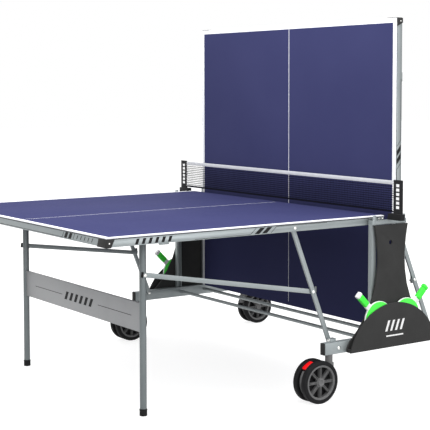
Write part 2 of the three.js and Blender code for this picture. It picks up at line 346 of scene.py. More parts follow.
def use(tree, group):
    node = tree.nodes.new("ShaderNodeGroup")
    node.node_tree = group
    return node


def coated_metal(name, dark, light, rough=(0.34, 0.46), metallic=0.35, gloss=0.35):
    material, tree, shader = new_material(name)
    shader.inputs["Specular IOR Level"].default_value = gloss
    shader.inputs["Metallic"].default_value = metallic
    surface = use(tree, COATED)
    tint = spread(tree, surface.outputs["Cloud"], 0.0, 1.0)
    colour = blend_colour(tree, tint, dark, light)
    dusty = tuple(min(1.0, c * 1.15 + 0.02) for c in light)
    link(tree, blend_colour(tree, maths(tree, "MULTIPLY", surface.outputs["Dust"], 0.35), colour, dusty),
         shader.inputs["Base Color"])
    link(tree, spread(tree, surface.outputs["Cloud"], rough[0], rough[1]), shader.inputs["Roughness"])
    bump(tree, surface.outputs["Peel"], 0.12, 0.0004, shader)
    return material


def moulded_plastic(name, dark, light, rough=(0.5, 0.62), grain=0.2, gloss=0.25):
    material, tree, shader = new_material(name)
    shader.inputs["Specular IOR Level"].default_value = gloss
    surface = use(tree, MOULDED)
    tint = spread(tree, surface.outputs["Flow"], 0.0, 1.0)
    link(tree, blend_colour(tree, tint, dark, light), shader.inputs["Base Color"])
    link(tree, spread(tree, surface.outputs["Flow"], rough[0], rough[1]), shader.inputs["Roughness"])
    bump(tree, surface.outputs["Grain"], grain, 0.0003, shader)
    return material


silver_coat = coated_metal("silver grey coat", (0.255, 0.285, 0.292), (0.300, 0.330, 0.338))
leg_coat = coated_metal("leg grey coat", (0.150, 0.172, 0.178), (0.182, 0.205, 0.211), metallic=0.25)
panel_coat = coated_metal("leg panel coat", (0.33, 0.335, 0.345), (0.37, 0.375, 0.385), metallic=0.15)
dark_coat = coated_metal("dark axle steel", (0.09, 0.10, 0.105), (0.13, 0.14, 0.15), metallic=0.7)
bright_steel = coated_metal("zinc plated screw", (0.62, 0.62, 0.6), (0.8, 0.8, 0.78), (0.2, 0.35), 0.9)
black_moulding = moulded_plastic("black moulding", (0.033, 0.033, 0.033), (0.040, 0.040, 0.040),
                                 gloss=0.08)
deep_black = moulded_plastic("black foot plastic", (0.008, 0.008, 0.009), (0.014, 0.014, 0.015),
                             gloss=0.12)
rim_grey = moulded_plastic("wheel rim plastic", (0.110, 0.110, 0.112), (0.150, 0.150, 0.152),
                           (0.35, 0.48), 0.12)
housing_grey = moulded_plastic("caster housing plastic", (0.13, 0.13, 0.132), (0.17, 0.17, 0.172),
                               (0.4, 0.52))
tyre_rubber = moulded_plastic("tyre rubber", (0.007, 0.007, 0.008), (0.012, 0.012, 0.013),
                              (0.6, 0.75), 0.35, 0.12)
red_tab = moulded_plastic("red brake plastic", (0.82, 0.004, 0.006), (0.95, 0.01, 0.012),
                          (0.3, 0.4), 0.08)
green_grip = moulded_plastic("green grip plastic", (0.055, 0.86, 0.055), (0.085, 0.98, 0.085),
                             (0.5, 0.62), 0.15, 0.15)
white_cap = moulded_plastic("white cap plastic", (0.80, 0.80, 0.80), (0.90, 0.90, 0.90),
                            (0.4, 0.5), 0.1)


def green_rubber():
    """Bat rubber: rows of tiny pips under a smooth green sheet."""
    material, tree, shader = new_material("green bat rubber")
    coords = tree.nodes.new("ShaderNodeTexCoord").outputs["Object"]
    cells = tree.nodes.new("ShaderNodeTexVoronoi")
    cells.inputs["Scale"].default_value = 480.0
    cells.inputs["Randomness"].default_value = 0.15
    link(tree, coords, cells.inputs["Vector"])
    pips = spread(tree, cells.outputs["Distance"], 1.0, 0.0, 0.15, 0.5)
    wear = noise(tree, coords, 22.0, 5.0, 0.6)
    base = blend_colour(tree, spread(tree, wear, 0.0, 1.0), (0.055, 0.86, 0.055), (0.080, 0.98, 0.080))
    link(tree, blend_colour(tree, maths(tree, "MULTIPLY", pips, 0.12), base, (0.02, 0.45, 0.03)),
         shader.inputs["Base Color"])
    link(tree, spread(tree, wear, 0.5, 0.68), shader.inputs["Roughness"])
    bump(tree, pips, 0.15, 0.0003, shader)
    return material


def net_fabric(name, dark, light, threads, sheen):
    """Knitted cord: a fine crossing of threads along the net."""
    material, tree, shader = new_material(name)
    coords = tree.nodes.new("ShaderNodeTexCoord").outputs["Object"]
    axes = tree.nodes.new("ShaderNodeSeparateXYZ")
    link(tree, coords, axes.inputs[0])
    across = maths(tree, "SINE", maths(tree, "MULTIPLY", axes.outputs["Y"], threads))
    up = maths(tree, "SINE", maths(tree, "MULTIPLY", axes.outputs["Z"], threads))
    weave = maths(tree, "MULTIPLY", across, up)
    tint = spread(tree, weave, 0.0, 1.0, -1.0, 1.0)
    soil = spread(tree, noise(tree, coords, 30.0, 4.0), 0.0, 0.5)
    link(tree, blend_colour(tree, maths(tree, "ADD", maths(tree, "MULTIPLY", tint, 0.5), soil), dark, light),
         shader.inputs["Base Color"])
    shader.inputs["Roughness"].default_value = 0.85
    shader.inputs["Sheen Weight"].default_value = sheen
    shader.inputs["Specular IOR Level"].default_value = sheen
    bump(tree, weave, 0.3, 0.0003, shader)
    return material


net_cord = net_fabric("net cord", (0.0030, 0.0032, 0.0080), (0.0065, 0.0068, 0.0150), 5200.0, 0.02)
net_tape = net_fabric("net tape", (0.50, 0.51, 0.54), (0.60, 0.61, 0.64), 4200.0, 0.15)


def band(tree, value, centre, half):
    """1 within half of centre along a coordinate."""
    return maths(tree, "LESS_THAN", maths(tree, "ABSOLUTE", maths(tree, "SUBTRACT", value, centre)), half)


BORDER = 0.020                                # white line along the edges
CENTRE_LINE_HALF = 0.0017


def playing_surface(name, board, long_axis, net_end, outer_end, end_sign):
    """Blue melamine with white border and centre lines on the playing side and its edges."""
    material, tree, shader = new_material(name)
    coords = tree.nodes.new("ShaderNodeTexCoord").outputs["Object"]
    axes = tree.nodes.new("ShaderNodeSeparateXYZ")
    link(tree, coords, axes.inputs[0])
    along = axes.outputs[long_axis]
    across = maths(tree, "ABSOLUTE", axes.outputs["Y"])
    side_lines = maths(tree, "GREATER_THAN", across, BOARD_HALF - BORDER)
    if end_sign < 0:
        end_line = maths(tree, "LESS_THAN", along, outer_end + BORDER)
    else:
        end_line = maths(tree, "GREATER_THAN", along, outer_end - BORDER)
    centre = maths(tree, "LESS_THAN", across, CENTRE_LINE_HALF)
    short = band(tree, along, (net_end + outer_end) / 2, abs(net_end - outer_end) / 2 - 0.018)
    lines = maths(tree, "MAXIMUM", maths(tree, "MAXIMUM", side_lines, end_line),
                  maths(tree, "MULTIPLY", centre, short))
    board_low, board_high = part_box(board)
    if end_sign < 0:
        playing_side = maths(tree, "GREATER_THAN", axes.outputs["Z"], board_low.z + 0.0006)
    else:
        playing_side = maths(tree, "LESS_THAN", axes.outputs["X"], board_high.x - 0.0006)
    lines = maths(tree, "MULTIPLY", lines, playing_side)
    grit = noise(tree, coords, 1400.0, 2.0)
    broad = noise(tree, coords, 2.2, 4.0, 0.55)
    scuff = noise(tree, coords, 60.0, 6.0, 0.7)
    blue = blend_colour(tree, spread(tree, broad, 0.0, 1.0), (0.0365, 0.0395, 0.108), (0.042, 0.045, 0.119))
    marks = maths(tree, "MULTIPLY", spread(tree, scuff, 0.0, 1.0, 0.62, 0.78), 0.10)
    blue = blend_colour(tree, marks, blue, (0.075, 0.082, 0.175))
    white = blend_colour(tree, spread(tree, scuff, 0.0, 0.25), (0.86, 0.87, 0.90), (0.66, 0.68, 0.74))
    link(tree, blend_colour(tree, lines, blue, white), shader.inputs["Base Color"])
    link(tree, spread(tree, scuff, 0.68, 0.80), shader.inputs["Roughness"])
    shader.inputs["Specular IOR Level"].default_value = 0.025
    bump(tree, grit, 0.10, 0.0002, shader)
    return material


# ------------------------------------------------------------------ boards, aprons and shoes
def screw(name, at, out, radius=0.0055, head=0.003, drive=True):
    """A domed screw head, with a sunk middle if asked, standing on a face."""
    at, out = Vector(at), Vector(out).normalized()
    deselect()
    bpy.ops.mesh.primitive_uv_sphere_add(segments=20, ring_count=10, radius=radius)
    piece = named(name)
    take(piece)
    bpy.ops.object.mode_set(mode="EDIT")
    bpy.ops.mesh.select_all(action="SELECT")
    bpy.ops.mesh.bisect(plane_co=(0, 0, 0), plane_no=(0, 0, 1), use_fill=True, clear_inner=True)
    bpy.ops.object.mode_set(mode="OBJECT")
    piece.scale = (1, 1, head / radius)
    settle(piece)
    if drive:
        top = [f.index for f in piece.data.polygons if f.center.z > head * 0.86]
        if top:
            edit_faces(piece, top)
            bpy.ops.mesh.inset(thickness=radius * 0.06)
            bpy.ops.transform.translate(value=(0, 0, -head * 0.35))
            bpy.ops.object.mode_set(mode="OBJECT")
    piece.rotation_euler = out.to_track_quat("Z", "Y").to_euler()
    piece.location = at
    settle(piece)
    return finish_mesh(piece, 0, 1, 50)


SHOE_SCREW_Y = 0.735
SHOE_SCREW_Z = 0.738
halves = {
    "front": dict(body="front_half", long="X", net=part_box("front_board")[1].x,
                  outer=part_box("front_board")[0].x, sign=-1),
    "rear": dict(body="rear_half", long="Z", net=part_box("rear_board")[0].z,
                 outer=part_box("rear_board")[1].z, sign=1),
}
for half, facts in halves.items():
    board = dressed(f"{half}_board", 0.0007, 2)
    paint = playing_surface(f"{half} blue melamine", f"{half}_board", facts["long"], facts["net"],
                            facts["outer"], facts["sign"])
    fit(board, facts["body"], paint)
    apron = dressed(f"{half}_apron_frame", 0.0012, 2)
    fit(apron, facts["body"], silver_coat)
    for side, y in SIDES:
        shoe = dressed(f"{half}_corner_shoe_{side}", 0.0006, 2)
        fit(shoe, facts["body"], black_moulding)
        low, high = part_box(f"{half}_corner_shoe_{side}")
        outer_y = y * (BOARD_HALF + 0.0001)
        if half == "front":
            spots = [((low.x - 0.0002, y * SHOE_SCREW_Y, SHOE_SCREW_Z), (-1, 0, 0)),
                     ((low.x + 0.013, outer_y, SHOE_SCREW_Z), (0, y, 0))]
        else:
            spots = [((low.x + 0.022, y * SHOE_SCREW_Y, high.z + 0.0002), (0, 0, 1)),
                     ((low.x + 0.022, outer_y, high.z - 0.013), (0, y, 0))]
        heads = [screw("screw", at, out, 0.0033, 0.0016) for at, out in spots]
        fit(merge(f"{half}_shoe_screws_{side}", heads), facts["body"], bright_steel)


def thin_plate(name, corners, push):
    """A flat outline given thickness by a push square to it."""
    deselect()
    bpy.ops.mesh.primitive_plane_add(size=1.0)
    piece = named(name)
    mesh = piece.data
    mesh.clear_geometry()
    mesh.from_pydata(corners, [], [list(range(len(corners)))])
    mesh.update()
    edit_faces(piece, [0])
    bpy.ops.mesh.extrude_region_move(TRANSFORM_OT_translate={"value": push})
    bpy.ops.mesh.select_all(action="SELECT")
    bpy.ops.mesh.normals_make_consistent(inside=False)
    bpy.ops.object.mode_set(mode="OBJECT")
    return finish_mesh(piece, 0.0, 1, 30)


def outline_plate(name, points, face, out, thickness=PRINT_THICK):
    """A thin plate with a cornered outline in X and Z, laid on a side face."""
    start = face - out * PRINT_SINK
    return thin_plate(name, [(x, start, z) for x, z in points], (0, out * thickness, 0))


def plate_on_x(name, points, x, out):
    """A thin plate with a cornered outline in Y and Z, laid on an end face."""
    return thin_plate(name, [(x, y, z) for y, z in points], (out * PRINT_THICK, 0, 0))


def leaning(start, end, low, high, lean):
    """The corners of a bar from low to high whose top is moved along by lean at each end."""
    return [(start - lean, low), (end - lean, low), (end + lean, high), (start + lean, high)]


MARK_TALL = 0.0236
MARK_LEAN = 0.014


def side_marks(half, side, y):
    """The long pinstripe and slanted bars printed on an apron's side."""
    if half == "front":
        middle = NET_X - 0.650
        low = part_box("front_board")[0].z - 0.0288

        def point(u, v):
            return (middle + u, low + v * MARK_TALL)
    else:
        middle = halves["rear"]["net"] + 0.773
        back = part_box("rear_board")[1].x + 0.0282

        def point(u, v):
            return (back - v * MARK_TALL, middle - u)
    spans = ((-0.030, -0.006), (0.006, 0.030), (-0.052, -0.049), (0.050, 0.053))
    outlines = [leaning(start, end, 0, 1, MARK_LEAN) for start, end in spans]
    outlines.append([(-0.330, -0.03), (-0.052 - MARK_LEAN, -0.03),
                     (-0.050 - MARK_LEAN, 0.04), (-0.330, 0.04)])
    outlines.append([(0.050 + MARK_LEAN, 0.96), (0.330, 0.96),
                     (0.330, 1.03), (0.051 + MARK_LEAN, 1.03)])
    plates = [outline_plate("bar", [point(u, v) for u, v in corners], y * APRON_FACE, y)
              for corners in outlines]
    fit(merge(f"{half}_side_marks_{side}", plates), halves[half]["body"], deep_black)


def corner_bars(side, y):
    """A run of slanted bars on the front apron's side, near its outer corner."""
    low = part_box("front_board")[0].z - 0.0285
    plates = []
    for k in range(6):
        start = NET_X - 1.244 + k * 0.029
        bar = leaning(start, start + 0.013, low, low + 0.0215, 0.004)
        plates.append(outline_plate("bar", bar, y * APRON_FACE, y))
    fit(merge(f"front_corner_bars_{side}", plates), "front_half", deep_black)


SHADOW_LINE_DEEP = 0.0026
SHADOW_LINE_CLEAR = 0.0002                           # between a board's back and the painted shadow line
SHADOW_LINE_END_HALF = 0.695                         # half the painted shadow line's length along the outer end


def painted_shadow_line(half):
    """A black strip painted as the shadow where the board sits in the apron, along both sides and the outer
    end.
    """
    board_low, board_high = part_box(f"{half}_board")
    strips = []
    for y in (-1, 1):
        side_low, side_high = sorted((y * (APRON_FACE - 0.0004), y * (APRON_FACE + 0.0005)))
        if half == "front":
            top = board_low.z - SHADOW_LINE_CLEAR
            strips.append(brick("painted_shadow_line", (board_low.x + 0.030, side_low, top - SHADOW_LINE_DEEP),
                                (board_high.x - 0.004, side_high, top), 0.0))
        else:
            back = board_high.x + SHADOW_LINE_CLEAR
            strips.append(brick("painted_shadow_line", (back, side_low, board_low.z + 0.004),
                                (back + SHADOW_LINE_DEEP, side_high, board_high.z - 0.030), 0.0))
    if half == "front":
        end = board_low.x + 0.0020
        strips.append(brick("painted_shadow_line", (end - 0.0005, -SHADOW_LINE_END_HALF, top - SHADOW_LINE_DEEP),
                            (end + 0.0004, SHADOW_LINE_END_HALF, top), 0.0))
    else:
        end = board_high.z - 0.0020
        strips.append(brick("painted_shadow_line", (back, -SHADOW_LINE_END_HALF, end - 0.0004),
                            (back + SHADOW_LINE_DEEP, SHADOW_LINE_END_HALF, end + 0.0005), 0.0))
    fit(merge(f"{half}_board_painted_shadow", strips), halves[half]["body"], deep_black)


def shoe_lip(half, side, y):
    """The raised end of a corner shoe, proud of the board's outer edge."""
    shoe_low, shoe_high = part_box(f"{half}_corner_shoe_{side}")
    inner, outer = sorted((y * (BOARD_HALF - 0.060), y * (BOARD_HALF + 0.0003)))
    if half == "front":
        low = (shoe_low.x - 0.0018, inner, shoe_low.z + 0.004)
        high = (shoe_low.x + 0.0006, outer, shoe_high.z - 0.002)
    else:
        low = (shoe_low.x - 0.0044, inner, shoe_high.z - 0.0006)
        high = (shoe_high.x - 0.004, outer, shoe_high.z + 0.0018)
    lip = brick(f"{half}_shoe_lip_{side}", low, high, 0.0010, 3)
    fit(lip, halves[half]["body"], black_moulding)


for half in halves:
    painted_shadow_line(half)
    for side, y in SIDES:
        side_marks(half, side, y)
        shoe_lip(half, side, y)
for side, y in SIDES:
    corner_bars(side, y)


# ------------------------------------------------------------------ legs, struts and stays
def rivet(name, at, out, radius=0.0075, head=0.0035):
    return screw(name, at, out, radius, head, drive=False)


FOOT_RADIUS = 0.0155

for half in halves:
    for side, _ in SIDES:
        low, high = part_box(f"{half}_leg_{side}")
        cx, cy = (low.x + high.x) / 2, (low.y + high.y) / 2
        leg = rod(f"{half}_leg_tube_{side}", (cx, cy, low.z), (cx, cy, high.z), LEG_RADIUS,
                  48, 0.0008, 0.004)
        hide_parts(f"{half}_leg_{side}")
        fit(leg, f"{half}_legs", leg_coat)
        low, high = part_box(f"{half}_foot_{side}")
        foot = rod("foot", (cx, cy, low.z), (cx, cy, high.z), FOOT_RADIUS, 48, 0.002)
        collar = rod("collar", (cx, cy, high.z - 0.0045), (cx, cy, high.z - 0.0005),
                     FOOT_RADIUS + 0.0007, 48, 0.0008)
        foot = merge(f"{half}_foot_cap_{side}", [foot, collar])
        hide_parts(f"{half}_foot_{side}")
        fit(foot, f"{half}_legs", deep_black)
        for part in ("strut", "stay"):
            bar = dressed(f"{half}_{part}_{side}", 0.0018 if part == "strut" else 0.0009, 3)
            fit(bar, f"{half}_{part}s", silver_coat)
    panel = dressed(f"{half}_leg_panel", 0.0012, 2)
    fit(panel, f"{half}_legs", panel_coat)
    axle = dressed(f"{half}_guide_axle", 0.0012, 2)
    fit(axle, f"{half}_carriage", dark_coat)
    tube = dressed(f"{half}_cross_tube", 0.0006, 1)
    fit(tube, "chassis", silver_coat)


# ------------------------------------------------------------------ chassis
for side, _ in SIDES:
    rail = dressed(f"{side}_rail", 0.002, 3)
    fit(rail, "chassis", silver_coat)
    for end, _ in ENDS:
        cap = dressed(f"{side}_rail_cap_{end}", 0.0022, 3)
        fit(cap, "chassis", black_moulding)
    columns = dressed(f"{side}_guide_columns", 0.0012, 2)
    fit(columns, "chassis", silver_coat)
    plate = dressed(f"{side}_holder_plate", 0.0015, 3)
    fit(plate, "chassis", black_moulding)
    pocket = dressed(f"{side}_pocket_front", 0.0018, 3)
    fit(pocket, "chassis", black_moulding)
    post = dressed(f"{side}_net_post", 0.002, 3)
    fit(post, "chassis", deep_black)


# ------------------------------------------------------------------ fittings
def rivets(name, body, spots, radius=0.0075, head=0.0035):
    """Domed heads at (place, outward direction), joined and riding on one body."""
    heads = [rivet("head", at, out, radius, head) for at, out in spots]
    return fit(merge(name, heads), body, bright_steel)


def strut_line(half, end_sign):
    """Foot, stay pivot, and unit vectors square to the strut and along it, in X and Z."""
    top = PIVOT[f"{half}_strut_swing"]
    foot = Vector((NET_X + end_sign * STRUT_FOOT[0], 0, STRUT_FOOT[1]))
    along = (top - foot).normalized()
    square = Vector((along.z, 0, -along.x)) * -end_sign
    return foot, foot + along * STRUT_MID, square, along


LEG_SIDE = middle_of("front_leg_far").y
STAY_FACE = LEG_SIDE + LEG_RADIUS + FREE_GAP + STAY_THICK
for half, end_sign in ENDS:
    half_body = halves[half]["body"]
    foot, mid, square, along = strut_line(half, end_sign)
    leg_hinge, stay_pivot = PIVOT[f"{half}_leg_fold"], PIVOT[f"{half}_stay_swing"]
    strut_top = PIVOT[f"{half}_strut_swing"]
    for side, y in SIDES:
        out = Vector((0, y, 0))
        strut_low, strut_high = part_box(f"{half}_strut_{side}")
        strut_faces = (min(abs(strut_low.y), abs(strut_high.y)), max(abs(strut_low.y), abs(strut_high.y)))
        rivets(f"{half}_strut_rivets_{side}", f"{half}_struts", [
            (Vector((mid.x, y * strut_faces[1], mid.z)), out),
            (Vector((foot.x, y * strut_faces[0], foot.z)), -out),
        ], 0.0072, 0.0032)
        rivets(f"{half}_stay_rivets_{side}", f"{half}_stays", [
            (Vector((stay_pivot.x, y * STAY_FACE, stay_pivot.z)), out),
        ], 0.0075, 0.0034)
        rivets(f"{half}_hinge_rivets_{side}", half_body, [
            (Vector((leg_hinge.x, y * (LEG_SIDE + s * 0.019), leg_hinge.z)), out * s) for s in (-1, 1)
        ] + [(Vector((strut_top.x, y * APRON_FACE, strut_top.z)), out)], 0.0072, 0.003)
        # a black cap on the stay's end at the leg
        lean = math.atan2(-(mid.z - stay_pivot.z), mid.x - stay_pivot.x)
        stay_middle = y * (STAY_FACE - STAY_THICK / 2)
        cap_place = Matrix.Translation(Vector((stay_pivot.x, stay_middle, stay_pivot.z)))
        cap_inner, cap_outer = sorted((y * -0.0034, y * 0.0046))
        cap = brick(f"{half}_stay_cap_{side}", (-0.0165, cap_inner, -0.0110), (-0.0085, cap_outer, 0.0110),
                    0.0012, 3)
        cap = moved(cap, cap_place @ Matrix.Rotation(lean, 4, "Y"))
        fit(cap, f"{half}_stays", deep_black)
        # a dark latch with its hook, on the strut beside the stay pivot
        latch_at = mid + square * 0.0145 + along * 0.004
        strut_mid_y = y * (strut_faces[0] + strut_faces[1]) / 2
        latch = brick("latch", (latch_at.x - 0.005, strut_mid_y - 0.0046, latch_at.z - 0.013),
                      (latch_at.x + 0.005, strut_mid_y + 0.0046, latch_at.z + 0.013), 0.002, 3)
        hook = brick("hook", (latch_at.x - 0.011, strut_mid_y - 0.004, latch_at.z - 0.004),
                     (latch_at.x + 0.001, strut_mid_y + 0.004, latch_at.z + 0.004), 0.0015, 2)
        fit(merge(f"{half}_strut_latch_{side}", [latch, hook]), f"{half}_struts", dark_coat)


RAIL_BOLT = (0.281, 0.219)                    # from the net plane, and its height
BOSS_BOLT = (0.306, 0.7565, 0.2465)           # on the end of a strut's boss
KEEPER_LONG = 0.040
KEEPER_DEEP = 0.0075
KEEPER_SINK = 0.0004
KEEPER_SIDES = (0.744, 0.757)

for side, y in SIDES:
    out = Vector((0, y, 0))
    rail_low, rail_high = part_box(f"{side}_rail")
    rail_face = y * max(abs(rail_low.y), abs(rail_high.y))
    bolts = []
    for _, x in ENDS:
        bolts.append((Vector((NET_X + x * RAIL_BOLT[0], rail_face, RAIL_BOLT[1])), out))
        bolts.append((Vector((NET_X + x * BOSS_BOLT[0], y * BOSS_BOLT[1], BOSS_BOLT[2])), Vector((x, 0, 0))))
    rivets(f"{side}_rail_bolts", "chassis", bolts, 0.0078, 0.0036)
    # a bracket plate on the front apron at its net end, with two bolts and a third beside it
    plate_low, plate_high = sorted((y * (APRON_FACE - 0.0002), y * (APRON_FACE + 0.0018)))
    plate = brick(f"{side}_net_bracket", (NET_X - 0.037, plate_low, 0.7265),
                  (NET_X - 0.003, plate_high, 0.752), 0.0008, 2)
    fit(plate, "front_half", silver_coat)
    rivets(f"{side}_net_bracket_bolts", "front_half", [
        (Vector((NET_X - dx, y * (APRON_FACE + 0.0018), 0.745)), out) for dx in (0.030, 0.011)
    ] + [(Vector((NET_X - 0.064, y * APRON_FACE, 0.741)), out)], 0.0052, 0.003)
    # the small keeper under the outer part of each half
    rear_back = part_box("rear_board")[1].x + FRAME_DEEP
    keeper_at = halves["rear"]["net"] + 1.093
    side_in, side_out = sorted(y * reach for reach in KEEPER_SIDES)
    keeper = brick(f"rear_keeper_{side}", (rear_back - KEEPER_SINK, side_in, keeper_at),
                   (rear_back + KEEPER_DEEP, side_out, keeper_at + KEEPER_LONG), 0.0016, 3)
    fit(keeper, "rear_half", silver_coat)
    low_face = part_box("front_board")[0].z - FRAME_DEEP
    keeper_x = halves["front"]["net"] - 1.133
    keeper = brick(f"front_keeper_{side}", (keeper_x, side_in, low_face - KEEPER_DEEP),
                   (keeper_x + KEEPER_LONG, side_out, low_face + KEEPER_SINK), 0.0016, 3)
    fit(keeper, "front_half", silver_coat)


# ------------------------------------------------------------------ printed marks
def panel_marks(half):
    """Two thin lines and a row of slanted bars between them, on the leg panel's outer face."""
    low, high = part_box(f"{half}_leg_panel")
    if half == "front":
        face, out = low.x, -1
    else:
        face, out = high.x, 1
    middle = (low.z + high.z) / 2
    plates = []
    for start, end in ((0.154, 0.425), (-0.455, -0.175)):
        line = leaning(start, end, middle - 0.0011, middle + 0.0011, 0)
        plates.append(plate_on_x("line", line, face, out))
    for k in range(6):
        centre = -0.112 + k * 0.045
        bar = leaning(centre - 0.011, centre + 0.011, middle - 0.018, middle + 0.018, -0.010)
        plates.append(plate_on_x("bar", bar, face, out))
    fit(merge(f"{half}_panel_marks", plates), f"{half}_legs", deep_black)


def end_marks():
    """Slanted bars and fine lines on the outer end of the front apron, near its corner."""
    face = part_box("front_apron_frame")[0].x
    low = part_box("front_board")[0].z - 0.0275
    high = low + 0.0235
    outlines = [leaning(start, start + 0.022, low, high, -0.008) for start in (-0.447, -0.482)]
    outlines += [leaning(start - 0.002, start + 0.0005, low, high, -0.007) for start in (-0.408, -0.500)]
    outlines.append(leaning(-0.402, 0.700, low, low + 0.0016, 0))
    for k in range(5):
        start = -0.651 + k * 0.030
        outlines.append(leaning(start, start + 0.0045, low + 0.004, high - 0.004, -0.005))
    plates = [plate_on_x("mark", corners, face, -1) for corners in outlines]
    fit(merge("front_end_marks", plates), "front_half", deep_black)


POCKET_PRINT = 0.0005


def pocket_marks():
    """Four white slanted bars over a short line on each pocket front."""
    for side, y in SIDES:
        low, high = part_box(f"{side}_pocket_front")
        face = y * max(abs(low.y), abs(high.y))
        plates = []
        for k in range(4):
            centre = NET_X - 0.042 + k * 0.028
            bar = leaning(centre - 0.006, centre + 0.006, 0.268, 0.314, 0.0085)
            plates.append(outline_plate("bar", bar, face, y, POCKET_PRINT))
        line = leaning(NET_X - 0.050, NET_X + 0.048, 0.244, 0.250, 0)
        plates.append(outline_plate("line", line, face, y, POCKET_PRINT))
        fit(merge(f"{side}_pocket_marks", plates), "chassis", white_cap)


POST_HALF = 0.0025                            # half the net post's thickness
BLOCK_STEP = 0.0188
LOOP_STEP = 0.0086


def post_marks():
    """A column of six white blocks on both faces of each net post, and the net's white end loops."""
    for side, y in SIDES:
        inner, outer = sorted((y * 0.839, y * 0.858))
        for end, x in ENDS:
            face = NET_X + x * POST_HALF
            low_x, high_x = sorted((face - x * PRINT_SINK, face + x * 0.0005))
            blocks = []
            for k in range(6):
                z = 0.794 + k * BLOCK_STEP
                blocks.append(brick("block", (low_x, inner, z), (high_x, outer, z + 0.0125), 0.0002, 1))
            fit(merge(f"{side}_post_blocks_{end}", blocks), "chassis", white_cap)
        loops = []
        for k in range(15):
            z = 0.786 + k * LOOP_STEP
            loops.append(rod("loop", (NET_X, y * 0.8145, z), (NET_X, y * 0.8222, z), 0.0022, 12, 0.0007))
        fit(merge(f"{side}_net_end_loops", loops), "chassis", white_cap)


for half in halves:
    panel_marks(half)
end_marks()
pocket_marks()
post_marks()


# ------------------------------------------------------------------ net
NET_ROWS = 12
NET_COLUMNS = 150
UPRIGHT = 0.0006                              # width of an upright cord
BAND_HALF = 0.0045                            # half the height of the band along the bottom
ROW_HALF = 0.0013
TAPE_DROP = 0.016                             # from the net's top to the top row under its tape


def hang_net():
    """The net's rows and uprights as one piece, and the tape along its top."""
    low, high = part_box("net")
    x = (low.x + high.x) / 2
    bottom, top = low.z + 0.004, high.z - TAPE_DROP
    cords = []
    for k in range(NET_ROWS + 1):
        z = bottom + (top - bottom) * k / NET_ROWS
        tall = BAND_HALF if k == 0 else ROW_HALF
        cords.append(brick("cord", (x - 0.0008, low.y, z - tall), (x + 0.0008, high.y, z + tall), 0.0))
    first = brick("cord", (x - 0.0006, low.y, bottom), (x + 0.0006, low.y + UPRIGHT, top), 0.0)
    array = first.modifiers.new("row", "ARRAY")
    array.count = NET_COLUMNS + 1
    array.use_relative_offset = False
    array.use_constant_offset = True
    array.constant_offset_displace = (0, (high.y - low.y - UPRIGHT) / NET_COLUMNS, 0)
    take(first)
    bpy.ops.object.modifier_apply(modifier=array.name)
    cords.append(first)
    net = merge("net_cords", cords)
    fit(net, "chassis", net_cord)
    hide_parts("net")
    tape = brick("net_tape", (x - 0.0018, low.y + 0.0005, top - 0.001),
                 (x + 0.0018, high.y - 0.0005, high.z), 0.0008, 2)
    fit(tape, "chassis", net_tape)
    return net, tape


net, tape = hang_net()


# ------------------------------------------------------------------ casters
def ring(name, outer, inner, width, sides=64, bevel=0.0015):
    """A wheel ring about Z: a disc whose caps are inset and bridged through."""
    deselect()
    bpy.ops.mesh.primitive_cylinder_add(vertices=sides, radius=outer, depth=width)
    piece = named(name)
    caps = [f.index for f in piece.data.polygons if abs(f.normal.z) > 0.9]
    edit_faces(piece, caps)
    bpy.ops.mesh.inset(thickness=outer - inner)
    bpy.ops.mesh.bridge_edge_loops()
    bpy.ops.object.mode_set(mode="OBJECT")
    return finish_mesh(piece, bevel, 3, 45)


WHEEL_RADIUS = 0.090
SPOKES = 8
WHEEL_OFFSET = 0.027                          # each wheel of a pair from the pair's middle
# each black disc's offset from a wheel pair's middle; the discs are painted shade behind the spokes
SHADE_DISC_OFFSET = 0.0125


def build_wheel():
    """One spoked wheel about Z: its tyre, and its rim with ribbed spokes and a hub."""
    tyre = ring("tyre", WHEEL_RADIUS, 0.0715, 0.026, 72, 0.005)
    rim = ring("rim", 0.0716, 0.0640, 0.022, 72, 0.0012)
    lip = ring("lip", 0.0725, 0.0690, 0.0246, 72, 0.0006)
    hub = rod("hub", (0, 0, -0.012), (0, 0, 0.012), 0.015, 36, 0.0012, 0.002)
    collar = ring("collar", 0.020, 0.0145, 0.016, 36, 0.0008)
    parts = [rim, lip, hub, collar]
    for k in range(SPOKES):
        turn = Matrix.Rotation(k * math.tau / SPOKES, 4, "Z")
        web = brick("web", (0.012, -0.0034, -0.004), (0.0665, 0.0034, 0.004), 0.0010, 2)
        parts.append(moved(web, turn))
        for side in (-1, 1):
            edge = side * 0.0033
            rib = brick("rib", (0.014, edge - 0.0010, -0.0085), (0.0665, edge + 0.0010, 0.0085), 0.0006, 1)
            parts.append(moved(rib, turn))
    wheel = merge("wheel", parts)
    return tyre, wheel


